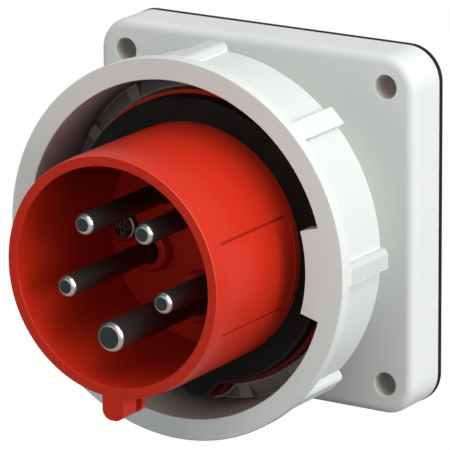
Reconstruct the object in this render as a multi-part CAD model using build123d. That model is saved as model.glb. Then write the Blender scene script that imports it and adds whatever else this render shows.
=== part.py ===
from build123d import *
import math
import os

# Panel-mounted pin and sleeve plug, 16 A, five poles, with a turning bayonet ring.
# Millimetres. The contact axis is Y, the panel lies at y = 0, the front faces -Y and +Z is up.
# A "reach" is a distance in front of the panel. Angles run from +X towards +Z, as seen from the front.

# Contact pins
PIN_COUNT = 5
FIRST_PIN_ANGLE = 54.0
PIN_CIRCLE_R = 13.4
PHASE_PIN_R = 2.5
EARTH_PIN_R = 3.5
PHASE_PIN_REACH = 71.45
EARTH_PIN_LEAD = 1.9
PIN_TIP_ROUND = 1.2
PIN_FLANGE_R = 5.5
PIN_FLANGE_THICK = 1.8
PIN_STEM_R = 2.8
PIN_HOLE_CLEARANCE = 0.05
PIN_ROOT_STEP = 0.3
PIN_ROOT_SHOWN = 0.3

# Terminal barrel at the back end of each pin, with its wire hole, clamp leaf and screw
BARREL_R = 4.4
BARREL_LENGTH = 16.0
BARREL_CLEARANCE = 0.2
BARREL_RECESS = 1.5
WIRE_HOLE_R = 1.8
WIRE_HOLE_DEPTH = 12.0
LEAF_WIDTH = 3.0
LEAF_LENGTH = 8.0
LEAF_THICK = 0.4
LEAF_SEAT = 0.6
LEAF_GAP = 0.1
TERMINAL_SCREW_R = 2.0
TERMINAL_HEAD_R = 2.9
TERMINAL_HEAD_HEIGHT = 2.2
TERMINAL_HEAD_GAP = 0.6
THREAD_CLEARANCE = 0.05

# Red sleeve around the pins, with its shoulder, key and engraved frame
SLEEVE_REACH = 72.1
SLEEVE_R = 27.9
SLEEVE_WALL = 2.7
SLEEVE_BORE_DRAFT = 0.2
SLEEVE_EDGE_ROUND = 0.25
LEAD_IN_LENGTH = 4.2
LEAD_IN_STEP = 0.25
SHOULDER_WIDTH = 6.5
SHOULDER_THICK = 3.4
SKIRT_STEP = 0.7
KEY_WIDTH = 5.6
KEY_HEIGHT = 5.1
KEY_FOOT_R = 2.35
KEY_LENGTH = 8.8
KEY_NOTCH_START = 5.1
KEY_NOTCH_WIDTH = 2.3
KEY_NOTCH_DEPTH = 1.6
FRAME_LINE = 0.5
FRAME_DEPTH = 0.25
FRAME_HEIGHT = 21.4
FRAME_LENGTH = 27.5
FRAME_FRONT_GAP = 4.6
FRAME_CORNER_R = 2.2

# Bump of the shoulder and of its seal behind the key, at six o'clock
BUMP_CENTRE_OUT = 3.5
BUMP_TOP_OUT = 3.5
BUMP_BLEND_R = 2.5

# Black sealing ring on the shoulder
SEAL_THICK = 4.0
SEAL_RIM_WALL = 0.9
SEAL_RIM_HEIGHT = 0.3
SEAL_BEVEL_WIDTH = 0.35
SEAL_BEVEL_HEIGHT = 0.8
SEAL_FIT_GAP = 0.04

# Red contact carrier, the floor inside the sleeve
FLOOR_REACH = 35.2
CARRIER_THICK = 5.0
CARRIER_CLEARANCE = 0.1
PIN_BOSS_HEIGHT = 3.2
PIN_BOSS_WALL = 1.85
PIN_BOSS_ROUND = 0.8
MOAT_GAP = 0.55
MOAT_DEPTH = 3.6
LEDGE_WIDTH = 2.0
CARRIER_SCREW_INSET = 4.0
CARRIER_SCREW_HEAD_R = 3.0
CARRIER_SCREW_HEAD_HEIGHT = 2.0
CARRIER_SCREW_R = 1.6
CARRIER_SCREW_LENGTH = 16.0
CARRIER_SCREW_PROUD = 0.8
CARRIER_SCREW_POCKET_GAP = 0.4
CARRIER_CUT_GAP = 0.8
CARRIER_CUT_DEPTH = 0.7

# Terminal block behind the carrier
BLOCK_BACK = 20.0
BLOCK_CLEARANCE = 0.3
BLOCK_EDGE_CHAMFER = 1.0
SCREW_WINDOW_R = 3.4

# Pillars and screws that hold the sleeve in the housing from behind
PILLAR_ANGLES = (90.0, 234.0, 306.0)
PILLAR_R = 3.4
PILLAR_INSET = 3.0
PILLAR_CLEARANCE = 0.4
INSERT_SCREW_R = 1.5
INSERT_SCREW_LENGTH = 12.0
INSERT_SCREW_HEAD_R = 2.8
INSERT_SCREW_HEAD_HEIGHT = 1.9

# Pan-head screws with a slot right across and a deeper cross, as shares of the screw's own size
HEAD_ROUND_SHARE = 0.35
SHANK_CHAMFER_SHARE = 0.4
SLOT_DEPTH_SHARE = 0.35
CROSS_LENGTH_SHARE = 1.2
CROSS_WIDTH_SHARE = 0.3
CROSS_DEPTH_SHARE = 0.6

# O-ring between the sleeve's skirt and the housing's neck
O_RING_SECTION_R = 0.95
O_RING_REACH = 24.5
O_RING_GROOVE_WIDTH = 2.4
O_RING_GAP = 0.04

# Flange housing: mounting plate, neck and collar in one moulding
FLANGE_WIDTH = 84.7
FLANGE_DEPTH = 12.8
FLANGE_CORNER_R = 8.0
FLANGE_EDGE_ROUND = 2.1
FLANGE_BACK_ROUND = 0.4
FLANGE_DRAFT = 0.2
FLANGE_WALL = 2.6
HOLE_SPACING = 70.0
HOLE_R = 2.75
HOLE_RIM_ROUND = 0.3
BOSS_R = 5.2
NECK_CLEARANCE = 0.4
NECK_WALL = 3.0
NECK_FLARE = 2.0
HUB_THICK = 3.0
HUB_CLEARANCE = 0.6
COLLAR_REACH = 29.6
COLLAR_WIDTH = 5.0
COLLAR_RIM_THICK = 1.0
COLLAR_SEAT_STEP = 1.0
COLLAR_LIP_HEIGHT = 1.2
COLLAR_LIP_WALL = 0.6
SHOULDER_CLEARANCE = 0.3
COLLAR_RIBS_FROM_TWELVE = (10.0, 34.0, 58.0)
COLLAR_RIBS_FROM_SIX = (14.0, 38.0, 62.0)
COLLAR_RIB_WIDTH = 3.3
COLLAR_RIB_HEIGHT = 1.45

# Gasket between the flange and the panel
GASKET_THICK = 1.0
GASKET_OVERHANG = 0.1
GASKET_BORE_R = 30.0

# Bayonet ring, snapped over the collar's rim
RING_LENGTH = 19.5
RING_TURN_CLEARANCE = 0.3
RING_AXIAL_PLAY = 0.2
RING_SNAP_LIP = 1.2
RING_SNAP_THICK = 1.0
RING_BORE_STEP = 0.8
RING_BORE_DRAFT = 0.4
RING_WALL = 3.05
RING_RIM_PROUD = 1.95
RING_RIM_WIDTH = 3.2
RING_EDGE_ROUND = 0.2
GRIP_RIB_COUNT = 8
GRIP_RIB_WIDTH = 4.6
GRIP_RIB_ROUND = 1.5
GRIP_RIB_ROUND_SIDES = (1, 0, -1, 1)
LUG_INWARD = 4.6
LUG_HALF_ANGLE = 15.8
LUG_THICK = 4.5
LUG_ANGLES = (0.0, 180.0)

# Stops: two tabs in the ring run in two recesses of the collar's rim
RING_TURN = 40.0
STOP_TAB_ANGLES = (46.0, 226.0)
STOP_TAB_HALF_ANGLE = 5.0
STOP_SPARE_ANGLE = 1.0
STOP_RECESS_DEPTH = 1.2

# Radii that follow
floor_bore_r = SLEEVE_R - SLEEVE_WALL - SLEEVE_BORE_DRAFT
shoulder_r = SLEEVE_R + SHOULDER_WIDTH
skirt_r = SLEEVE_R + SKIRT_STEP
seal_seat_r = shoulder_r - SEAL_RIM_WALL
seal_r = seal_seat_r - SEAL_FIT_GAP
block_r = floor_bore_r - BLOCK_CLEARANCE
carrier_r = floor_bore_r - CARRIER_CLEARANCE
ledge_bore_r = floor_bore_r - LEDGE_WIDTH
neck_bore_r = skirt_r + NECK_CLEARANCE
neck_r = neck_bore_r + NECK_WALL
hub_bore_r = block_r + HUB_CLEARANCE
seat_recess_r = shoulder_r + SHOULDER_CLEARANCE
collar_lip_r = seat_recess_r + COLLAR_LIP_WALL
collar_r = shoulder_r + COLLAR_WIDTH
ring_groove_r = collar_r + RING_TURN_CLEARANCE
ring_bore_r = ring_groove_r - RING_BORE_STEP
ring_mouth_r = ring_bore_r + RING_BORE_DRAFT
ring_body_r = ring_mouth_r + RING_WALL
ring_rim_r = ring_body_r + RING_RIM_PROUD
snap_lip_r = ring_groove_r - RING_SNAP_LIP
lug_inner_r = ring_mouth_r - LUG_INWARD
collar_front_r = ring_bore_r - RING_TURN_CLEARANCE
pillar_place_r = floor_bore_r - PILLAR_INSET
carrier_screw_place_r = floor_bore_r - CARRIER_SCREW_INSET
bump_centre = SLEEVE_R + BUMP_CENTRE_OUT
bump_r = shoulder_r + BUMP_TOP_OUT - bump_centre

# Reaches that follow
seat_reach = COLLAR_REACH + COLLAR_SEAT_STEP
seal_seat_reach = seat_reach + SHOULDER_THICK
seal_rim_reach = seal_seat_reach + SEAL_RIM_HEIGHT
seal_reach = seal_seat_reach + SEAL_THICK
ledge_reach = FLOOR_REACH - CARRIER_THICK
block_reach = ledge_reach - PIN_FLANGE_THICK
carrier_screw_seat = FLOOR_REACH + CARRIER_SCREW_PROUD - CARRIER_SCREW_HEAD_HEIGHT
hub_reach = GASKET_THICK + HUB_THICK
pin_boss_reach = FLOOR_REACH + PIN_BOSS_HEIGHT
pin_root_reach = pin_boss_reach + PIN_ROOT_SHOWN
collar_lip_reach = seat_reach + COLLAR_LIP_HEIGHT
groove_front_reach = COLLAR_REACH + RING_AXIAL_PLAY
groove_back_reach = COLLAR_REACH - COLLAR_RIM_THICK - RING_AXIAL_PLAY
ring_back_reach = groove_back_reach - RING_SNAP_THICK
ring_reach = ring_back_reach + RING_LENGTH

# Terminal places behind the panel, as y
barrel_end = BLOCK_BACK - BARREL_RECESS
barrel_start = barrel_end - BARREL_LENGTH
clamp_y = barrel_end - WIRE_HOLE_DEPTH / 2
leaf_top_r = PIN_CIRCLE_R + WIRE_HOLE_R + LEAF_SEAT

PAST = 1.0


def ahead(reach):
    """Plane square to the axis at this reach. Its local axes are X and Z, and it faces the front."""
    return Plane.XZ.offset(reach)


def slab(sketch, back_reach, front_reach):
    """Solid of this outline between two reaches."""
    return extrude(ahead(back_reach) * sketch, amount=front_reach - back_reach)


def turned(profile):
    """Solid turned about the Y axis from corner points given as radius and reach."""
    outline = Polyline(*[(radius, -reach) for radius, reach in profile], close=True)
    return revolve(make_face(outline), Axis.Y)


def at_angle(angle, shape):
    """Shape swung about the Y axis from the +X direction to this angle."""
    return Rot(0, -angle, 0) * shape


def polar(radius, angle):
    """Local X and Z of a point at this radius and angle."""
    return radius * math.cos(math.radians(angle)), radius * math.sin(math.radians(angle))


def wedge(middle_angle, half_angle, radius):
    """Flat pie slice wider than the radius, about a middle angle of at most a quarter turn."""
    far = radius / math.cos(math.radians(half_angle)) + PAST
    corners = [(0, 0), polar(far, middle_angle - half_angle), polar(far, middle_angle + half_angle)]
    return make_face(Polyline(*corners, close=True))


def bumped_circle(radius, bump_radius):
    """Circle with a rounded bump at six o'clock, blended in with concave corners."""
    to_circle = radius + BUMP_BLEND_R
    to_bump = bump_radius + BUMP_BLEND_R
    blend_down = (to_circle**2 - to_bump**2 + bump_centre**2) / (2 * bump_centre)
    blend_side = math.sqrt(to_circle**2 - blend_down**2)
    centres = [(0, 0), (blend_side, -blend_down), (0, -bump_centre), (-blend_side, -blend_down)]
    outline = Circle(radius) + Pos(0, -bump_centre) * Circle(bump_radius)
    outline += make_face(Polyline(*centres, close=True))
    for side in (-1, 1):
        outline -= Pos(side * blend_side, -blend_down) * Circle(BUMP_BLEND_R)
    return outline


def head_recess(radius, height):
    """Slot along local Y across a screw head and a shorter, deeper cross, cut down from the local origin."""
    width = radius * CROSS_WIDTH_SHARE
    arm = Rectangle(radius * CROSS_LENGTH_SHARE, width)
    slot = extrude(Rectangle(width, 2 * radius + PAST), amount=-height * SLOT_DEPTH_SHARE)
    return slot + extrude(arm + Rot(0, 0, 90) * arm, amount=-height * CROSS_DEPTH_SHARE)


def screw(shank_r, shank_length, head_r, head_height):
    """Pan-head screw along local Z: the head's seat at the origin, the head above, the shank below."""
    head = extrude(Circle(head_r), amount=head_height)
    head = fillet(head.edges().sort_by(Axis.Z)[-1], head_height * HEAD_ROUND_SHARE)
    head -= Pos(0, 0, head_height) * head_recess(head_r, head_height)
    shank = extrude(Circle(shank_r), amount=-shank_length)
    shank = chamfer(shank.edges().sort_by(Axis.Z)[0], shank_r * SHANK_CHAMFER_SHARE)
    return head + shank


def pin_angle(index):
    """Angle of a pin: the earth pin is the one at six o'clock."""
    return FIRST_PIN_ANGLE + index * 360.0 / PIN_COUNT


def mounting_holes(radius, back_reach, front_reach):
    """Four cylinders on the mounting screws' axes."""
    holes = Sketch() + GridLocations(HOLE_SPACING, HOLE_SPACING, 2, 2) * Circle(radius)
    return slab(holes, back_reach, front_reach)


def flange_plate():
    """Cored square plate with screw bosses and rounded edges."""
    depth = FLANGE_DEPTH - GASKET_THICK
    outline = ahead(GASKET_THICK) * RectangleRounded(FLANGE_WIDTH, FLANGE_WIDTH, FLANGE_CORNER_R)
    plate = extrude(outline, amount=depth, taper=FLANGE_DRAFT)
    plate = fillet(plate.faces().sort_by(Axis.Y)[0].edges(), FLANGE_EDGE_ROUND)
    plate = fillet(plate.faces().sort_by(Axis.Y)[-1].edges(), FLANGE_BACK_ROUND)
    inner_width = FLANGE_WIDTH - 2 * FLANGE_WALL
    inner = ahead(GASKET_THICK) * RectangleRounded(inner_width, inner_width, FLANGE_CORNER_R - FLANGE_WALL)
    core = extrude(inner, amount=depth - FLANGE_WALL, taper=FLANGE_DRAFT)
    core -= mounting_holes(BOSS_R, 0, FLANGE_DEPTH)
    core -= slab(Circle(neck_r), 0, FLANGE_DEPTH)
    plate -= core
    plate -= mounting_holes(HOLE_R, 0, FLANGE_DEPTH + PAST)
    rims = plate.faces().sort_by(Axis.Y)[0].edges().filter_by(GeomType.CIRCLE)
    rims = rims.filter_by(lambda rim: abs(rim.radius - HOLE_R) < 0.01)
    return fillet(rims, HOLE_RIM_ROUND)


def collar_rib_angles():
    """Ribs stand in pairs either side of twelve and six o'clock."""
    groups = ((90.0, COLLAR_RIBS_FROM_TWELVE), (270.0, COLLAR_RIBS_FROM_SIX))
    return [middle + side * offset for middle, offsets in groups for side in (-1, 1) for offset in offsets]


def collar_ribs():
    """Radial ribs on the collar's sloping front. They start at the lip and stand proud further out."""
    band = turned([
        (collar_lip_r, COLLAR_REACH - COLLAR_RIM_THICK / 2),
        (collar_front_r, COLLAR_REACH - COLLAR_RIM_THICK / 2),
        (collar_front_r, COLLAR_REACH + COLLAR_RIB_HEIGHT),
        (collar_lip_r, collar_lip_reach),
    ])
    bars = Sketch()
    for angle in collar_rib_angles():
        bars += Rot(0, 0, angle) * Pos(collar_lip_r, 0) * Rectangle(2 * COLLAR_WIDTH, COLLAR_RIB_WIDTH)
    return band & slab(bars, 0, SLEEVE_REACH)


def flange_housing():
    """Plate, neck and collar. The sleeve's shoulder seats in the collar, and the ring snaps on its rim."""
    neck = turned([
        (hub_bore_r, GASKET_THICK),
        (neck_r, GASKET_THICK),
        (neck_r, COLLAR_REACH - COLLAR_RIM_THICK - NECK_FLARE),
        (neck_r + NECK_FLARE, COLLAR_REACH - COLLAR_RIM_THICK),
        (collar_r, COLLAR_REACH - COLLAR_RIM_THICK),
        (collar_r, COLLAR_REACH),
        (collar_front_r, COLLAR_REACH),
        (collar_lip_r, collar_lip_reach),
        (neck_bore_r, collar_lip_reach),
        (neck_bore_r, hub_reach),
        (hub_bore_r, hub_reach),
    ])
    plate = flange_plate() - slab(Circle(neck_r - PAST), 0, FLANGE_DEPTH + PAST)
    housing = plate + neck
    lip = slab(bumped_circle(collar_lip_r, bump_r + SHOULDER_CLEARANCE + COLLAR_LIP_WALL),
               COLLAR_REACH - COLLAR_RIM_THICK / 2, collar_lip_reach)
    housing += collar_ribs()
    lip = lip & slab(Circle(collar_front_r), 0, SLEEVE_REACH)
    housing += lip - slab(Circle(neck_bore_r), 0, SLEEVE_REACH)
    housing -= slab(bumped_circle(seat_recess_r, bump_r + SHOULDER_CLEARANCE), seat_reach, SLEEVE_REACH)
    for angle in PILLAR_ANGLES:
        place = Pos(*polar(pillar_place_r, angle))
        ear = slab(place * Circle(PILLAR_R), GASKET_THICK, hub_reach)
        housing += ear & slab(Circle(neck_bore_r), 0, FLANGE_DEPTH)
        housing -= slab(place * Circle(INSERT_SCREW_R + THREAD_CLEARANCE), 0, FLANGE_DEPTH)
    return housing - stop_recesses()


def stop_recesses():
    """Shallow recesses in the collar's rim that the ring's tabs run in."""
    half_span = RING_TURN / 2 + STOP_TAB_HALF_ANGLE + STOP_SPARE_ANGLE
    outer = collar_r + PAST
    pies = Sketch()
    for angle in STOP_TAB_ANGLES:
        pies += wedge(angle - RING_TURN / 2, half_span, outer)
    back = COLLAR_REACH - COLLAR_RIM_THICK - PAST
    return slab(pies - Circle(collar_r - STOP_RECESS_DEPTH), back, collar_lip_reach + PAST)


def flange_gasket():
    """Flat rubber sheet between the plate and the panel."""
    width = FLANGE_WIDTH + 2 * GASKET_OVERHANG
    sheet = RectangleRounded(width, width, FLANGE_CORNER_R + GASKET_OVERHANG) - Circle(GASKET_BORE_R)
    sheet -= GridLocations(HOLE_SPACING, HOLE_SPACING, 2, 2) * Circle(HOLE_R)
    return slab(sheet, 0, GASKET_THICK)


def grip_rib(round_side):
    """One grip rib on the ring's outside, pointing to +X and flush with the rim. The mould has rounded
    its top corner on the side given by +1 or -1, or neither corner for 0."""
    root = ring_body_r - RING_WALL / 2
    height = ring_rim_r - root
    section = Pos(root + height / 2, 0) * Rectangle(height, GRIP_RIB_WIDTH)
    if round_side:
        corners = section.vertices().sort_by(Axis.X)[-2:].sort_by(Axis.Y)
        section = fillet(corners[-1] if round_side > 0 else corners[0], GRIP_RIB_ROUND)
    return slab(section, ring_back_reach, ring_reach - RING_RIM_WIDTH / 2)


def bayonet_ring():
    """Turning ring: rim, grip ribs, two lugs inside its mouth and a snap groove at its back."""
    shell = turned([
        (ring_mouth_r, ring_reach),
        (ring_rim_r, ring_reach),
        (ring_rim_r, ring_reach - RING_RIM_WIDTH),
        (ring_body_r, ring_reach - RING_RIM_WIDTH),
        (ring_body_r, ring_back_reach),
        (snap_lip_r, ring_back_reach),
        (snap_lip_r, groove_back_reach),
        (ring_groove_r, groove_back_reach),
        (ring_groove_r, groove_front_reach),
        (ring_bore_r, groove_front_reach),
    ])
    circles = shell.edges().filter_by(GeomType.CIRCLE)
    soft_edges = circles.filter_by(lambda edge: edge.radius > ring_body_r + RING_EDGE_ROUND)
    soft_edges += circles.group_by(Axis.Y)[0].sort_by(SortBy.RADIUS)[:1]
    ring = fillet(soft_edges, RING_EDGE_ROUND)
    for index in range(GRIP_RIB_COUNT):
        rib = grip_rib(GRIP_RIB_ROUND_SIDES[index % len(GRIP_RIB_ROUND_SIDES)])
        ring += at_angle(index * 360.0 / GRIP_RIB_COUNT, rib)
    lug_band = Circle(ring_mouth_r + RING_WALL / 2) - Circle(lug_inner_r)
    for angle in LUG_ANGLES:
        ring += slab(lug_band & wedge(angle, LUG_HALF_ANGLE, ring_rim_r), ring_reach - LUG_THICK, ring_reach)
    tab_band = Circle(ring_groove_r + RING_WALL / 2) - Circle(snap_lip_r)
    for angle in STOP_TAB_ANGLES:
        tab = tab_band & wedge(angle, STOP_TAB_HALF_ANGLE, ring_rim_r)
        ring += slab(tab, ring_back_reach + RING_SNAP_THICK / 2, groove_front_reach)
    return ring


def key():
    """Polarising key under the sleeve's mouth, rounded at its foot and notched on both sides."""
    foot = SLEEVE_R + KEY_HEIGHT
    top = SLEEVE_R - SLEEVE_WALL / 2
    section = Pos(0, -(foot + top) / 2) * Rectangle(KEY_WIDTH, foot - top)
    section = fillet(section.vertices().sort_by(Axis.Y)[:2], KEY_FOOT_R)
    body = slab(section, SLEEVE_REACH - KEY_LENGTH, SLEEVE_REACH)
    notch_front = SLEEVE_REACH - KEY_NOTCH_START
    notch_shape = Pos(0, -foot) * Rectangle(KEY_WIDTH + 2 * PAST, 2 * (foot - SLEEVE_R))
    notch_shape -= Pos(0, -foot) * Rectangle(KEY_WIDTH - 2 * KEY_NOTCH_DEPTH, 2 * foot)
    return body - slab(notch_shape, notch_front - KEY_NOTCH_WIDTH, notch_front)


def engraved_frame():
    """Groove that outlines a plain panel on the sleeve's +X side and is open towards the front."""
    closed_length = FRAME_LENGTH + 2 * FRAME_CORNER_R
    middle = -(SLEEVE_REACH - FRAME_FRONT_GAP - FRAME_LENGTH + closed_length / 2)
    inner_r = FRAME_CORNER_R - FRAME_LINE
    frame = RectangleRounded(closed_length, FRAME_HEIGHT, FRAME_CORNER_R)
    frame -= RectangleRounded(closed_length - 2 * FRAME_LINE, FRAME_HEIGHT - 2 * FRAME_LINE, inner_r)
    frame -= Pos(-closed_length / 2, 0) * Rectangle(4 * FRAME_CORNER_R, FRAME_HEIGHT)
    cutter = extrude(Plane.YZ * Pos(middle, 0) * frame, amount=SLEEVE_R + PAST)
    return cutter - slab(Circle(SLEEVE_R - FRAME_DEPTH), 0, SLEEVE_REACH)


def pillars():
    """Screw pillars on the inside of the sleeve's skirt."""
    feet = Sketch()
    for angle in PILLAR_ANGLES:
        feet += Pos(*polar(pillar_place_r, angle)) * Circle(PILLAR_R)
    return slab(feet & Circle(skirt_r - SLEEVE_WALL / 2), hub_reach, block_reach)


def sleeve():
    """Red sleeve with its shoulder, seal seat, ledge for the carrier, skirt and key."""
    tube = turned([
        (SLEEVE_R - SLEEVE_WALL, SLEEVE_REACH),
        (SLEEVE_R - LEAD_IN_STEP, SLEEVE_REACH),
        (SLEEVE_R, SLEEVE_REACH - LEAD_IN_LENGTH),
        (SLEEVE_R, seat_reach),
        (skirt_r, seat_reach),
        (skirt_r, hub_reach),
        (floor_bore_r, hub_reach),
        (floor_bore_r, block_reach),
        (ledge_bore_r, block_reach),
        (ledge_bore_r, ledge_reach),
        (floor_bore_r, ledge_reach),
        (floor_bore_r, FLOOR_REACH),
    ])
    mouth = tube.edges().filter_by(GeomType.CIRCLE).group_by(Axis.Y)[0]
    tube = fillet(mouth, SLEEVE_EDGE_ROUND)
    hole = Circle(SLEEVE_R - SLEEVE_WALL / 2)
    shoulder = slab(bumped_circle(shoulder_r, bump_r) - hole, seat_reach, seal_seat_reach)
    rim = bumped_circle(shoulder_r, bump_r) - bumped_circle(seal_seat_r, bump_r - SEAL_RIM_WALL)
    body = tube + shoulder + slab(rim, seal_seat_reach, seal_rim_reach) + key() + pillars()
    half_groove = O_RING_GROOVE_WIDTH / 2
    groove_floor_r = neck_bore_r - 2 * (O_RING_SECTION_R + O_RING_GAP)
    groove = Circle(neck_bore_r) - Circle(groove_floor_r)
    body -= slab(groove, O_RING_REACH - half_groove, O_RING_REACH + half_groove)
    for angle in PILLAR_ANGLES:
        pilot = Pos(*polar(pillar_place_r, angle)) * Circle(INSERT_SCREW_R)
        body -= slab(pilot, 0, GASKET_THICK + INSERT_SCREW_LENGTH + PAST)
    return body - engraved_frame()


def insert_o_ring():
    """O-ring in the skirt's groove, against the neck's bore."""
    centre_r = neck_bore_r - O_RING_GAP - O_RING_SECTION_R
    section = Pos(centre_r, -O_RING_REACH) * Circle(O_RING_SECTION_R)
    return revolve(section, Axis.Y)


def sealing_ring():
    """Flat seal around the sleeve, bevelled on its outer front edge."""
    hole = Circle(SLEEVE_R + SEAL_FIT_GAP)
    outline = bumped_circle(seal_r, bump_r - SEAL_RIM_WALL - SEAL_FIT_GAP)
    body = slab(outline - hole, seal_seat_reach, seal_reach)
    front = body.faces().sort_by(Axis.Y)[0]
    return chamfer(front.outer_wire().edges(), SEAL_BEVEL_HEIGHT, SEAL_BEVEL_WIDTH, reference=front)


def pin_radius(index):
    """The fourth pin, at six o'clock, is the thicker earth pin."""
    return EARTH_PIN_R if index == 3 else PHASE_PIN_R


def carrier_screw_place(side):
    """Carrier screws stand left and right of the axis."""
    return Pos(side * carrier_screw_place_r, 0)


def contact_carrier():
    """Floor disc with a round-edged boss around each pin and a moat between boss and pin."""
    carrier = slab(Circle(carrier_r), ledge_reach, FLOOR_REACH)
    for index in range(PIN_COUNT):
        place = Pos(*polar(PIN_CIRCLE_R, pin_angle(index)))
        moat_r = pin_radius(index) + MOAT_GAP
        boss = slab(place * Circle(moat_r + PIN_BOSS_WALL), ledge_reach, pin_boss_reach)
        carrier += fillet(boss.edges().sort_by(Axis.Y)[0], PIN_BOSS_ROUND)
        carrier -= slab(place * Circle(moat_r), pin_boss_reach - MOAT_DEPTH, pin_boss_reach + PAST)
        carrier -= slab(place * Circle(pin_radius(index) + PIN_HOLE_CLEARANCE), 0, SLEEVE_REACH)
    pocket_r = CARRIER_SCREW_HEAD_R + CARRIER_SCREW_POCKET_GAP
    cut_r = CARRIER_SCREW_HEAD_R + CARRIER_CUT_GAP
    for side in (-1, 1):
        place = carrier_screw_place(side)
        cut = place * Circle(cut_r)
        cut += Pos(side * carrier_r, 0) * Rectangle(2 * (carrier_r - carrier_screw_place_r), 2 * cut_r)
        carrier -= slab(cut, FLOOR_REACH - CARRIER_CUT_DEPTH, FLOOR_REACH + PAST)
        carrier -= slab(place * Circle(pocket_r), carrier_screw_seat, FLOOR_REACH + PAST)
        carrier -= slab(place * Circle(CARRIER_SCREW_R + THREAD_CLEARANCE), 0, SLEEVE_REACH)
    return carrier


def carrier_screws():
    """Two screws through the carrier into the terminal block."""
    one = screw(CARRIER_SCREW_R, CARRIER_SCREW_LENGTH, CARRIER_SCREW_HEAD_R, CARRIER_SCREW_HEAD_HEIGHT)
    return Compound([ahead(carrier_screw_seat) * carrier_screw_place(side) * one for side in (-1, 1)])


def contact_pin(index):
    """Turned pin: rounded tip, rod, thinner root, flange behind the carrier, stem and terminal barrel."""
    radius = pin_radius(index)
    tip = PHASE_PIN_REACH + (EARTH_PIN_LEAD if index == 3 else 0.0)
    body = turned([
        (0, tip),
        (radius, tip),
        (radius, pin_root_reach),
        (radius - PIN_ROOT_STEP, pin_root_reach),
        (radius - PIN_ROOT_STEP, ledge_reach),
        (PIN_FLANGE_R, ledge_reach),
        (PIN_FLANGE_R, block_reach),
        (PIN_STEM_R, block_reach),
        (PIN_STEM_R, -barrel_start),
        (BARREL_R, -barrel_start),
        (BARREL_R, -barrel_end),
        (0, -barrel_end),
    ])
    body = fillet(body.edges().filter_by(GeomType.CIRCLE).group_by(Axis.Y)[0], PIN_TIP_ROUND)
    slot_height = WIRE_HOLE_R + LEAF_SEAT
    leaf_slot = Pos(slot_height / 2, 0) * Rectangle(slot_height, LEAF_WIDTH + 2 * LEAF_GAP)
    body -= slab(Circle(WIRE_HOLE_R) + leaf_slot, -barrel_end - PAST, -barrel_end + WIRE_HOLE_DEPTH)
    screw_hole = extrude(Circle(TERMINAL_SCREW_R + THREAD_CLEARANCE), amount=BARREL_R + PAST)
    body -= Plane.YZ * Pos(clamp_y, 0) * screw_hole
    return at_angle(pin_angle(index), Pos(PIN_CIRCLE_R, 0, 0) * body)


def clamp_leaf(index):
    """Spring-steel leaf between the clamp screw's tip and the wire."""
    leaf = Pos(leaf_top_r - LEAF_THICK / 2, clamp_y, 0) * Box(LEAF_THICK, LEAF_LENGTH, LEAF_WIDTH)
    return at_angle(pin_angle(index), leaf)


def terminal_screws():
    """Five clamp screws that point outwards, one in each barrel."""
    head_seat_r = PIN_CIRCLE_R + BARREL_R + TERMINAL_HEAD_GAP
    one = screw(TERMINAL_SCREW_R, head_seat_r - leaf_top_r, TERMINAL_HEAD_R, TERMINAL_HEAD_HEIGHT)
    radial = Pos(head_seat_r, clamp_y, 0) * Rot(0, 90, 0) * one
    return Compound([at_angle(pin_angle(index), radial) for index in range(PIN_COUNT)])


def terminal_block():
    """Insulating block behind the carrier with a way for each barrel and a window for each screw."""
    block = slab(Circle(block_r), -BLOCK_BACK, block_reach)
    block = chamfer(block.edges().filter_by(GeomType.CIRCLE).group_by(Axis.Y)[-1], BLOCK_EDGE_CHAMFER)
    window = Plane.YZ * Pos(clamp_y, 0) * extrude(Circle(SCREW_WINDOW_R), amount=block_r + PAST)
    for index in range(PIN_COUNT):
        place = Pos(*polar(PIN_CIRCLE_R, pin_angle(index)))
        block -= slab(place * Circle(BARREL_R + BARREL_CLEARANCE), -BLOCK_BACK - PAST, block_reach + PAST)
        block -= at_angle(pin_angle(index), Pos(PIN_CIRCLE_R, 0, 0) * window)
    for angle in PILLAR_ANGLES:
        place = Pos(*polar(pillar_place_r, angle))
        notch = place * Circle(PILLAR_R + PILLAR_CLEARANCE)
        notch += Rot(0, 0, angle) * Pos(block_r, 0) * Rectangle(
            2 * (block_r - pillar_place_r), 2 * (PILLAR_R + PILLAR_CLEARANCE))
        block -= slab(notch, -BLOCK_BACK - PAST, block_reach + PAST)
    screw_end = carrier_screw_seat - CARRIER_SCREW_LENGTH - PAST
    for side in (-1, 1):
        block -= slab(carrier_screw_place(side) * Circle(CARRIER_SCREW_R), screw_end, SLEEVE_REACH)
    return block


def insert_screws():
    """Three screws from behind through the hub's ears into the sleeve's pillars."""
    one = screw(INSERT_SCREW_R, INSERT_SCREW_LENGTH, INSERT_SCREW_HEAD_R, INSERT_SCREW_HEAD_HEIGHT)
    backwards = ahead(GASKET_THICK) * Rot(0, 180, 0) * one
    screws = []
    for angle in PILLAR_ANGLES:
        x, z = polar(pillar_place_r, angle)
        screws.append(Pos(x, 0, z) * backwards)
    return Compound(screws)


PIN_NAMES = ("l3", "l1", "neutral", "earth", "l2")

nodes = {
    "flange_housing": flange_housing(),
    "flange_gasket": flange_gasket(),
    "bayonet_ring": bayonet_ring(),
    "sleeve": sleeve(),
    "sealing_ring": sealing_ring(),
    "insert_o_ring": insert_o_ring(),
    "contact_carrier": contact_carrier(),
    "carrier_screws": carrier_screws(),
    "terminal_block": terminal_block(),
    "terminal_screws": terminal_screws(),
    "insert_screws": insert_screws(),
}
for pin_index, pin_name in enumerate(PIN_NAMES):
    nodes["contact_pin_" + pin_name] = contact_pin(pin_index)
    nodes["clamp_leaf_" + pin_name] = clamp_leaf(pin_index)

os.makedirs("parts", exist_ok=True)
for name, shape in nodes.items():
    export_step(shape, os.path.join("parts", name + ".step"))
    print(name, round(shape.volume, 1))
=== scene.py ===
import math

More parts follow.
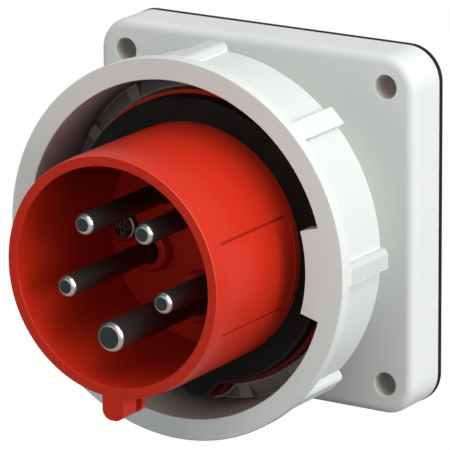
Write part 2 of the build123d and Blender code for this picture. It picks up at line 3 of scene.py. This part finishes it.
import bpy
from mathutils import Matrix, Vector


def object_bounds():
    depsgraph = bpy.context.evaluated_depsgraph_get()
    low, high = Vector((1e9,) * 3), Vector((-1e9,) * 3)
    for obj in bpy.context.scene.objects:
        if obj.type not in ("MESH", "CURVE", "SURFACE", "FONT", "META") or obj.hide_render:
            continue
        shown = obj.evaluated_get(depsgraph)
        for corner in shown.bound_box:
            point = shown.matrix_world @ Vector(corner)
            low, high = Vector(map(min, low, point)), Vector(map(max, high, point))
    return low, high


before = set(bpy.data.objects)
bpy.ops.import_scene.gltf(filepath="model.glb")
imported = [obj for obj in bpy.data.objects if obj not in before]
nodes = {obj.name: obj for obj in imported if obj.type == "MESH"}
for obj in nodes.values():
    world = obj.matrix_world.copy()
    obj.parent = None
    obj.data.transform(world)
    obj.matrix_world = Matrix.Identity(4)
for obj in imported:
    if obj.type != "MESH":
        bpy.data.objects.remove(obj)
cad_low, cad_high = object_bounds()
scene = bpy.context.scene


# Flange housing. One thick-walled moulding in pale grey polyamide: the square plate, the neck and the
# collar that carries the ring. Straight from the mould, with the fine matt grain of an eroded cavity.
class Flow:
    """A value on its way through a material's nodes. Sums and products of flows add Math nodes."""

    def __init__(self, tree, socket=None):
        self.tree = tree
        self.socket = socket

    def node(self, kind, settings=None, inputs=None, output=0):
        """Adds a node of this kind, with its settings first and then its sockets, and gives one output."""
        made = self.tree.nodes.new("ShaderNode" + kind)
        for name, value in (settings or {}).items():
            setattr(made, name, value)
        for name, value in (inputs or {}).items():
            if isinstance(value, Flow):
                self.tree.links.new(value.socket, made.inputs[name])
            else:
                made.inputs[name].default_value = value
        return Flow(self.tree, made.outputs[output])

    def feed(self, shader, name):
        """Joins this value to a socket of the shader."""
        self.tree.links.new(self.socket, shader.inputs[name])

    def maths(self, operation, first, second):
        return self.node("Math", {"operation": operation}, {0: first, 1: second})

    def __add__(self, other):
        return self.maths("ADD", self, other)

    def __radd__(self, other):
        return self.maths("ADD", other, self)

    def __sub__(self, other):
        return self.maths("SUBTRACT", self, other)

    def __rsub__(self, other):
        return self.maths("SUBTRACT", other, self)

    def __mul__(self, other):
        return self.maths("MULTIPLY", self, other)

    def __rmul__(self, other):
        return self.maths("MULTIPLY", other, self)

    def rise(self, start, end):
        """0 up to start, 1 from end on, and a soft slope between them."""
        settings = {"interpolation_type": "SMOOTHSTEP"}
        return self.node("MapRange", settings, {"Value": self, "From Min": start, "From Max": end})

    def band(self, start, full, fading, end):
        """1 from full to fading, and 0 before start and after end."""
        return self.rise(start, full) * (1 - self.rise(fading, end))

    def blend(self, low, high):
        """The first colour where this value is 0, the second where it is 1."""
        return self.node("Mix", {"data_type": "RGBA"}, {0: self, 6: low, 7: high}, output=2)


def start_material(name, specular=0.5):
    """New material, its shader, and a flow to build on."""
    material = bpy.data.materials.new(name)
    material.use_nodes = True
    shader = material.node_tree.nodes["Principled BSDF"]
    shader.inputs["Specular IOR Level"].default_value = specular
    return material, shader, Flow(material.node_tree)


def place_on_part(flow):
    """Position in metres in the part's own frame."""
    return flow.node("TexCoord", output="Object")


def along(vector, direction):
    """How far a vector goes in a direction."""
    inputs = {0: vector, 1: direction}
    return vector.node("VectorMath", {"operation": "DOT_PRODUCT"}, inputs, output="Value")


def facing(flow, direction):
    """How far a surface faces a direction: 1 square on, 0 side on, -1 turned away."""
    return along(flow.node("TexCoord", output="Normal"), direction)


def radius_of(place):
    """Distance from the contact axis, or from the line beside it that the place is measured from."""
    across = place.node("VectorMath", {"operation": "MULTIPLY"}, {0: place, 1: (1, 0, 1)})
    return place.node("VectorMath", {"operation": "LENGTH"}, {0: across}, output="Value")


def noise(place, scale, detail=3.0, roughness=0.55):
    """Noise between 0 and 1 with this many cells in a metre."""
    inputs = {"Vector": place, "Scale": scale, "Detail": detail, "Roughness": roughness}
    return place.node("TexNoise", {"noise_dimensions": "3D"}, inputs)


def toned(colour, share):
    """The colour made darker, or lighter with a share above 1."""
    return tuple(part * share for part in colour[:3]) + (1,)


def add_relief(shader, height, depth, strength, edge_radius):
    """Softens the edges to this radius and lays a height between 0 and 1 over them, so many metres deep."""
    edges = height.node("Bevel", {"samples": 6}, {"Radius": edge_radius})
    inputs = {"Height": height, "Distance": depth, "Strength": strength, "Normal": edges}
    height.node("Bump", None, inputs).feed(shader, "Normal")


def near_edge(flow, width):
    """1 within about this width of a sharp or rounded edge, 0 on the open faces."""
    rounded = flow.node("Bevel", {"samples": 8}, {"Radius": width})
    flat = flow.node("NewGeometry", output="True Normal")
    return (1 - along(rounded, flat)).rise(0.01, 0.16)


def dress(node, material):
    """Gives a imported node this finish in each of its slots."""
    for slot in nodes[node].material_slots:
        slot.material = material


RIGHT = (1, 0, 0)
FORWARD = (0, -1, 0)
UP = (0, 0, 1)
WHITE = (1, 1, 1, 1)

PLATE_FRONT = 0.0138
SCREW_HOLE_PLACE = 0.035
SCREW_HOLE_RADIUS = 0.00285
RING_BACK = 0.0274
RING_RIM_BACK = 0.0437
RING_BODY_RADIUS = 0.04235
HOUSING_TONE = (0.80, 0.825, 0.80, 1)
SPECKLE_TONE = (0.91, 0.91, 0.91, 1)
EDGE_HIGHLIGHT = (0.95, 0.95, 0.94, 1)
HOLE_SHADE = (0.60, 0.555, 0.54, 1)
SHADE_REACH = 0.025
SHADE_BELOW = (0.27, 0.25, 0.24, 1)
SHADE_ABOVE = (0.13, 0.12, 0.115, 1)


def grey_moulding(name, colour, painted_face_light, rib_shade):
    """Pale grey polyamide with faint flow marks, a fine matt grain and painted highlights along its
    edges. Painted shade darkens it between collar and ring, most towards the top, and darkens and warms
    the inside of the screw holes. Faces that point forward pass into a painted light tone towards the
    lower right, the ring's recessed wall behind its rim gets a touch of painted shade, and the grip ribs
    that stand upright or level get a painted shade tone."""
    material, shader, flow = start_material(name, specular=0.3)
    place = place_on_part(flow)
    front = facing(flow, FORWARD)
    reach = along(place, FORWARD)
    either_side = flow.node("VectorMath", {"operation": "ABSOLUTE"}, {0: place})

    # Painted shade: the ring's recessed outer wall behind the rim, between the ribs, is toned a little
    # darker.
    outwards = radius_of(place) - RING_BODY_RADIUS
    between_ribs = outwards.band(-0.0002, -0.0001, 0.0002, 0.0008)
    on_ring = reach.rise(RING_BACK - 0.0014, RING_BACK - 0.0004)
    body_shaded = (between_ribs * on_ring * (1 - front.rise(0.3, 0.6))).blend(colour, toned(colour, 0.955))

    # Painted shade: the outer faces of the grip ribs that stand upright or level take a darker tone.
    slanting = (along(either_side, RIGHT) * along(either_side, UP)).rise(0.0002, 0.0004)
    behind_rim = 1 - reach.rise(RING_RIM_BACK - 0.0006, RING_RIM_BACK - 0.0004)
    ribs_shaded = (outwards.rise(0.0003, 0.0006) * behind_rim * (1 - slanting)).blend(body_shaded, rib_shade)

    # Painted light: forward faces pass into a lighter, less red tone towards the lower right.
    lower_right = along(place, (0.7, 0, -0.7)).rise(-0.03, 0.03)
    faces_lit = (front.rise(0.9, 0.99) * lower_right).blend(ribs_shaded, painted_face_light)

    cloud = noise(place, 55.0, detail=2.0)
    grain = noise(place, 2600.0, roughness=0.7)
    speckle = (cloud * 0.3 + grain * 0.7).blend(SPECKLE_TONE, WHITE)
    multiplying = {"data_type": "RGBA", "blend_type": "MULTIPLY"}
    speckled = flow.node("Mix", multiplying, {0: 1.0, 6: faces_lit, 7: speckle}, output=2)
    # Painted highlight: a lighter line along every edge.
    highlighted = near_edge(flow, 0.0005).blend(speckled, EDGE_HIGHLIGHT)

    past_plate = reach.rise(PLATE_FRONT - 0.0008, PLATE_FRONT + 0.0022)
    # Painted shade: the inside of the screw holes is darker and warmer.
    hole = (SCREW_HOLE_PLACE, 0, SCREW_HOLE_PLACE)
    from_hole = flow.node("VectorMath", {"operation": "SUBTRACT"}, {0: either_side, 1: hole})
    in_hole = 1 - (radius_of(from_hole) - SCREW_HOLE_RADIUS).rise(-0.00003, 0.00003)
    hole_shaded = (in_hole * (1 - past_plate)).blend(highlighted, HOLE_SHADE)

    # Painted shade: hemmed-in surfaces past the plate are darkened by ambient occlusion, darkest towards the
    # top.
    open_to_air = flow.node("AmbientOcclusion", {"samples": 8}, {"Distance": SHADE_REACH}, output="AO")
    occluded_shade = (1 - open_to_air.rise(0.05, 0.55)) * past_plate
    shade_tone = along(place, UP).rise(0.0, 0.03).blend(SHADE_BELOW, SHADE_ABOVE)
    occluded_shade.blend(hole_shaded, shade_tone).feed(shader, "Base Color")
    (0.42 + grain * 0.12).feed(shader, "Roughness")
    add_relief(shader, grain, depth=0.00005, strength=0.45, edge_radius=0.00005)
    return material


housing_grey = grey_moulding("housing_grey", HOUSING_TONE, painted_face_light=HOUSING_TONE, rib_shade=HOUSING_TONE)
dress("flange_housing", housing_grey)


# Gasket. A sheet of black rubber, stamped out, that lies between the plate and the panel and stands a
# hair proud of the plate's sides.
def black_rubber(name, colour, grain_scale, grain_depth):
    """Matt black rubber with a fine pebble, and a painted highlight that greys the lower half of its
    bevelled edge.
    """
    material, shader, flow = start_material(name, specular=0.2)
    place = place_on_part(flow)
    pebble = noise(place, grain_scale, detail=2.0)
    bloom = noise(place, 90.0)
    black = bloom.rise(0.4, 0.75).blend(colour, toned(colour, 1.7))
    # Painted highlight: the lower half of the forward-facing bevel is lighter.
    bevel_highlight = facing(flow, FORWARD).band(0.1, 0.3, 0.9, 0.98) * (1 - along(place, UP).rise(-0.02, 0.005))
    bevel_highlight.blend(black, toned(colour, 3.2)).feed(shader, "Base Color")
    (0.5 + pebble * 0.2).feed(shader, "Roughness")
    add_relief(shader, pebble, depth=grain_depth, strength=0.4, edge_radius=0.0002)
    return material


GASKET_BLACK = (0.010, 0.009, 0.009, 1)

dress("flange_gasket", black_rubber("gasket_rubber", GASKET_BLACK, grain_scale=1800.0, grain_depth=0.00004))


# Sleeve and contact carrier. Red polyamide mouldings, glossier than the grey ones: the tube round the pins
# with its key, its shoulder for the seal and its skirt in the neck, and the floor disc that lies on a
# ledge inside it and carries the pins.
SLEEVE_OUTSIDE = 0.0279
SLEEVE_MOUTH = 0.0721
SLEEVE_BORE = 0.0252
LEAD_IN_BACK = 0.0679
SEAL_FRONT = 0.038
SHOULDER_FRONT = 0.034

RED_LOW = (0.565, 0.0235, 0.008, 1)
RED_HIGH = (0.632, 0.028, 0.0097, 1)
RED_PAINTED_LIGHT = (0.86, 0.045, 0.016, 1)
RED_HIGHLIGHT = (0.78, 0.07, 0.035, 1)
RED_CEILING_SHADE = (0.20, 0.007, 0.002, 1)
RED_SHOULDER_SHADE = (0.28, 0.008, 0.003, 1)
RED_GROOVE_SHADE = (0.38, 0.016, 0.008, 1)
DOWN = (0, 0, -1)


def red_moulding(name):
    """Signal red polyamide with a satin gloss. Painted light makes it lighter in front of the seal. Painted
    highlights brighten the mouth's upper edge, a line at the seal and the seal end of the engraved line,
    and painted shade darkens the rest of the engraved line, the bore's ceiling and the shoulder's lower
    part."""
    material, shader, flow = start_material(name, specular=0.22)
    place = place_on_part(flow)
    front = facing(flow, FORWARD)
    reach = along(place, FORWARD)
    radius = radius_of(place)
    height = along(place, UP)
    cloud = noise(place, 45.0, detail=2.0)
    grain = noise(place, 3200.0, detail=2.0)
    red = cloud.blend(RED_LOW, RED_HIGH)

    # Painted light: the outside in front of the seal is lighter.
    outside = radius.rise(SLEEVE_OUTSIDE - 0.0005, SLEEVE_OUTSIDE - 0.0003)
    before_seal = 1 - reach.rise(SEAL_FRONT + 0.001, SEAL_FRONT + 0.008)
    red = (before_seal * outside).blend(red, RED_PAINTED_LIGHT)

    # Painted shade: the bore's down-facing ceiling is darker.
    ceiling = facing(flow, DOWN).rise(0.2, 0.9)
    in_bore = 1 - radius.rise(SLEEVE_BORE + 0.0001, SLEEVE_BORE + 0.0004)
    red = (ceiling * in_bore).blend(red, RED_CEILING_SHADE)

    # Painted shade: the shoulder's lower part behind the seal is darker.
    on_shoulder = radius.rise(SLEEVE_OUTSIDE + 0.0021, SLEEVE_OUTSIDE + 0.0031)
    behind_seal = 1 - reach.rise(SHOULDER_FRONT + 0.002, SHOULDER_FRONT + 0.003)
    red = (on_shoulder * behind_seal * (1 - height.rise(-0.03, 0.01))).blend(red, RED_SHOULDER_SHADE)

    # Painted highlights: a bright line on the mouth's upper edge and one at the seal.
    at_mouth = reach.rise(SLEEVE_MOUTH - 0.0006, SLEEVE_MOUTH - 0.0003)
    outer_half = radius.rise(SLEEVE_BORE + 0.0012, SLEEVE_BORE + 0.0014)
    mouth_highlight = front.band(0.1, 0.35, 0.85, 0.98) * at_mouth * outer_half * height.rise(-0.015, 0.005)
    by_seal = reach.band(SEAL_FRONT - 0.0005, SEAL_FRONT - 0.0004, SEAL_FRONT + 0.0004, SEAL_FRONT + 0.0006)
    seal_highlight = by_seal * radius.rise(SLEEVE_OUTSIDE - 0.0003, SLEEVE_OUTSIDE - 0.0001)
    highlighted = (mouth_highlight + seal_highlight).blend(red, RED_HIGHLIGHT)

    # Painted shade in the engraved line, with a painted highlight at its end by the seal.
    sunk = (SLEEVE_OUTSIDE - radius).rise(0.00003, 0.00012)
    near_outside = radius.rise(SLEEVE_OUTSIDE - 0.0007, SLEEVE_OUTSIDE - 0.0005)
    behind_lead_in = 1 - reach.rise(LEAD_IN_BACK - 0.0003, LEAD_IN_BACK - 0.0001)
    groove_shade_and_highlight = reach.rise(SEAL_FRONT + 0.0024, SEAL_FRONT + 0.0045).blend(RED_HIGHLIGHT, RED_GROOVE_SHADE)
    (sunk * near_outside * behind_lead_in).blend(highlighted, groove_shade_and_highlight).feed(shader, "Base Color")
    (0.26 + grain * 0.08).feed(shader, "Roughness")
    add_relief(shader, grain, depth=0.00001, strength=0.25, edge_radius=0.00025)
    return material


sleeve_red = red_moulding("sleeve_red")
dress("sleeve", sleeve_red)
dress("contact_carrier", sleeve_red)


# Seals. The flat ring on the shoulder, which the connector's edge presses on, and the O-ring hidden
# between skirt and neck. Both are moulded black rubber.
SEAL_BLACK = (0.0105, 0.0115, 0.0115, 1)

seal_rubber = black_rubber("seal_rubber", SEAL_BLACK, grain_scale=2400.0, grain_depth=0.00003)
dress("sealing_ring", seal_rubber)
dress("insert_o_ring", seal_rubber)


# Contact pins. Turned brass with dark nickel plating, with a painted highlight where the tips are rounded. A
# flange on each is held between the carrier and the terminal block.
PIN_NAMES = ("l3", "l1", "neutral", "earth", "l2")
SHADED_UP_TO = 0.046
LIT_FROM = 0.070
HIGHLIGHT_SIDE = (0.97, 0, -0.26)
NICKEL_SHADED = ((0.05, 0.035, 0.03, 1), (0.09, 0.06, 0.055, 1))
NICKEL_LIT = ((0.11, 0.105, 0.105, 1), (0.19, 0.18, 0.18, 1))
NICKEL_TIP_SHADE = (0.085, 0.095, 0.095, 1)
NICKEL_HIGHLIGHT = (0.96, 0.96, 0.95, 1)


def plated_pin(name):
    """Dark nickel with fine turning marks. Painted shade and a painted red reflection make it browner
    towards the floor, a painted dark reflection lies on the flat tip, and a painted highlight sits on
    the right side of the rounded tip.
    """
    material, shader, flow = start_material(name, specular=0.4)
    front = facing(flow, FORWARD)
    reach = along(place_on_part(flow), FORWARD)
    turning = flow.node("TexNoise", {"noise_dimensions": "1D"}, {"W": reach, "Scale": 9000.0, "Detail": 2.0})
    # Painted shade and painted red reflection: the rods turn darker and browner towards the floor.
    rod_shaded = turning.blend(*NICKEL_SHADED)
    rod_lit = turning.blend(*NICKEL_LIT)
    # Painted dark reflection on the flat tip face.
    dark = front.rise(0.95, 0.995).blend(reach.rise(SHADED_UP_TO, LIT_FROM).blend(rod_shaded, rod_lit), NICKEL_TIP_SHADE)
    # Painted highlight: the rounded tip is bright on its right side.
    tip_highlight = front.band(0.15, 0.4, 0.95, 0.995) * facing(flow, HIGHLIGHT_SIDE).rise(-0.55, 0.15)
    tip_highlight.blend(dark, NICKEL_HIGHLIGHT).feed(shader, "Base Color")
    (0.78 + tip_highlight * 0.07).feed(shader, "Metallic")
    (0.26 - tip_highlight * 0.06 + turning * 0.12).feed(shader, "Roughness")
    add_relief(shader, turning, depth=0.000003, strength=0.3, edge_radius=0.0001)
    return material


pin_metal = plated_pin("pin_metal")
for pin in PIN_NAMES:
    dress("contact_pin_" + pin, pin_metal)


# Terminal block. Moulded in black glass-filled polyamide. The two carrier screws pull it against the
# carrier, and it holds the terminal ends of the pins and their clamp screws.
BLOCK_LOW = (0.018, 0.018, 0.02, 1)
BLOCK_HIGH = (0.035, 0.035, 0.038, 1)


def block_plastic(name):
    """Black plastic, dull and slightly uneven from its glass fibres."""
    material, shader, flow = start_material(name)
    grain = noise(place_on_part(flow), 1400.0)
    grain.blend(BLOCK_LOW, BLOCK_HIGH).feed(shader, "Base Color")
    (0.45 + grain * 0.2).feed(shader, "Roughness")
    add_relief(shader, grain, depth=0.00004, strength=0.4, edge_radius=0.0002)
    return material


dress("terminal_block", block_plastic("block_plastic"))


# Screws and clamp leaves. The terminal screws and the screws that hold the red insert are zinc-plated
# steel, those in the carrier have a dark nickel, and the leaves are bright spring steel.
SCREW_HIGHLIGHT = (0.92, 0.92, 0.90, 1)
ZINC = (0.62, 0.62, 0.6, 1)
# Dark nickel, with a brown-red tint that is a painted reflection of the red sleeve round the carrier screws.
DARK_NICKEL_RED_REFLECTION = (0.10, 0.055, 0.045, 1)
SPRING_STEEL = (0.55, 0.55, 0.55, 1)


def plated_steel(name, colour, metallic=1.0):
    """Plated steel with painted highlights along its edges and on the right side of its rounded rims."""
    material, shader, flow = start_material(name)
    grain = noise(place_on_part(flow), 1500.0)
    plated = grain.blend(toned(colour, 0.7), colour)
    # Painted highlight on the rims' right side and along the edges.
    rim = facing(flow, FORWARD).band(0.15, 0.4, 0.8, 0.95) * facing(flow, RIGHT).rise(0.1, 0.5)
    rim_highlight = flow.maths("MAXIMUM", rim, near_edge(flow, 0.0002))
    rim_highlight.blend(plated, SCREW_HIGHLIGHT).feed(shader, "Base Color")
    (metallic - rim_highlight * metallic * 0.7).feed(shader, "Metallic")
    (0.25 + grain * 0.2).feed(shader, "Roughness")
    add_relief(shader, grain, depth=0.00002, strength=0.3, edge_radius=0.0001)
    return material


zinc = plated_steel("zinc", ZINC)
dress("terminal_screws", zinc)
dress("insert_screws", zinc)
dress("carrier_screws", plated_steel("dark_nickel", DARK_NICKEL_RED_REFLECTION, metallic=0.6))
spring_steel = plated_steel("spring_steel", SPRING_STEEL)
for pin in PIN_NAMES:
    dress("clamp_leaf_" + pin, spring_steel)


# Bayonet ring. Pale grey moulding like the housing, with eight grip ribs outside and two locking lugs
# inside. It is snapped over the collar's rim, on which it turns.
RING_TONE = (0.79, 0.825, 0.80, 1)
# Painted light: the forward faces' lighter, less red tone towards the lower right.
RING_FACE_LIGHT = (0.83, 0.945, 0.915, 1)
# Painted shade: the darker tone of four grip ribs.
RING_RIB_SHADE = (0.66, 0.69, 0.668, 1)

dress("bayonet_ring", grey_moulding("ring_grey", RING_TONE, painted_face_light=RING_FACE_LIGHT, rib_shade=RING_RIB_SHADE))


# Floor. A matt white sheet just under the part. The camera sees it as white, the metal as a pale grey, and
# only a trace of the shadow shows.
FLOOR_DROP = 0.0004
FLOOR_HALF = 4.0
FLOOR_GREY = (0.3, 0.3, 0.3, 1)
FLOOR_ROUGHNESS = 0.9
FLOOR_WHITENESS = 0.985
FLOOR_IN_GLOSS = 0.25

floor_mesh = bpy.data.meshes.new("floor")
level = cad_low.z - FLOOR_DROP
corners = [(x * FLOOR_HALF, y * FLOOR_HALF, level) for x, y in ((-1, -1), (1, -1), (1, 1), (-1, 1))]
floor_mesh.from_pydata(corners, [], [(0, 1, 2, 3)])
floor = bpy.data.objects.new("floor", floor_mesh)
scene.collection.objects.link(floor)

floor_white = bpy.data.materials.new("floor_white")
floor_white.use_nodes = True
floor_tree = floor_white.node_tree
floor_shader = floor_tree.nodes["Principled BSDF"]
floor_shader.inputs["Base Color"].default_value = FLOOR_GREY
floor_shader.inputs["Roughness"].default_value = FLOOR_ROUGHNESS
pale = Flow(floor_tree, floor_shader.outputs[0])
glow = pale.node("Emission", None, {"Color": WHITE, "Strength": 1.0})
dusk = pale.node("Emission", None, {"Color": WHITE, "Strength": FLOOR_IN_GLOSS})
to_camera = pale.node("LightPath", output="Is Camera Ray") * FLOOR_WHITENESS
to_gloss = pale.node("LightPath", output="Is Glossy Ray")
lit = pale.node("MixShader", None, {0: to_camera, 1: pale, 2: glow})
seen = pale.node("MixShader", None, {0: to_gloss, 1: lit, 2: dusk})
seen.feed(floor_tree.nodes["Material Output"], "Surface")
floor_mesh.materials.append(floor_white)


# Lamps. Four soft boxes round the part: two on the right, one of them low, one high up between the right
# and the camera, and a weak one on the left in front.
def softbox(name, place, width, power):
    """Square area lamp aimed at the middle of the part."""
    lamp = bpy.data.lights.new(name, "AREA")
    lamp.shape = "SQUARE"
    lamp.size = width
    lamp.energy = power
    holder = bpy.data.objects.new(name, lamp)
    holder.location = place
    holder.rotation_mode = "QUATERNION"
    holder.rotation_quaternion = (PART_MIDDLE - Vector(place)).to_track_quat("-Z", "Y")
    scene.collection.objects.link(holder)


PART_MIDDLE = Vector((0, -0.025, 0))
softbox("side_lamp", (1.9, 0.30, 0.9), width=1.2, power=13.7)
softbox("low_lamp", (2.0, -0.5, 0.45), width=0.9, power=14.3)
softbox("high_lamp", (1.0, -0.7, 1.8), width=1.2, power=11.6)
softbox("front_lamp", (-0.6, -1.8, 0.25), width=1.2, power=2.2)


# Room. White to the camera and an even grey as light. In gloss it is dark, paler behind the part and
# with a bright window on the right.
ROOM_GREY = (0.60, 0.60, 0.60, 1)
BLACK = (0, 0, 0, 1)
BACKWARD = (0, 1, 0)
WINDOW_SIDE = (0.82, -0.50, 0.28)

world = bpy.data.worlds.new("studio")
scene.world = world
world.use_nodes = True
background = world.node_tree.nodes["Background"]
direction = Flow(world.node_tree).node("TexCoord", output="Generated")
glossy = direction.node("LightPath", output="Is Glossy Ray")
in_gloss = glossy + direction.node("LightPath", output="Is Transmission Ray")
behind_part = along(direction, BACKWARD).rise(-0.1, 0.6) * 0.35
window = along(direction, WINDOW_SIDE).rise(0.60, 0.84) * 0.95
room = in_gloss.blend(ROOM_GREY, (0.05 + behind_part + window).blend(BLACK, WHITE))
direction.node("LightPath", output="Is Camera Ray").blend(room, WHITE).feed(background, "Color")


# Camera. A long lens from the right and a little above, fitted to the pins, the mouth, the ring's edges and
# the plate's corners.
CAMERA_AZIMUTH = math.radians(32.627)
CAMERA_ELEVATION = math.radians(15.826)
CAMERA_ROLL = math.radians(-0.458)
CAMERA_DISTANCE = 1.0606
CAMERA_SHIFT_RIGHT = -0.01366
CAMERA_SHIFT_UP = -0.005158
CAMERA_LENS = 364.4
CAMERA_SENSOR = 36.0

back = Vector((
    math.sin(CAMERA_AZIMUTH) * math.cos(CAMERA_ELEVATION),
    -math.cos(CAMERA_AZIMUTH) * math.cos(CAMERA_ELEVATION),
    math.sin(CAMERA_ELEVATION),
))
level_right = Vector((math.cos(CAMERA_AZIMUTH), math.sin(CAMERA_AZIMUTH), 0))
roll = Matrix.Rotation(CAMERA_ROLL, 3, back)
right = roll @ level_right
up = roll @ back.cross(level_right)
stand = back * CAMERA_DISTANCE + right * CAMERA_SHIFT_RIGHT + up * CAMERA_SHIFT_UP

camera = bpy.data.objects.new("camera", bpy.data.cameras.new("camera"))
scene.collection.objects.link(camera)
camera.data.lens = CAMERA_LENS
camera.data.sensor_width = CAMERA_SENSOR
camera.matrix_world = Matrix((
    (right.x, up.x, back.x, stand.x),
    (right.y, up.y, back.y, stand.y),
    (right.z, up.z, back.z, stand.z),
    (0, 0, 0, 1),
))
scene.camera = camera
scene.view_settings.view_transform = "Standard"
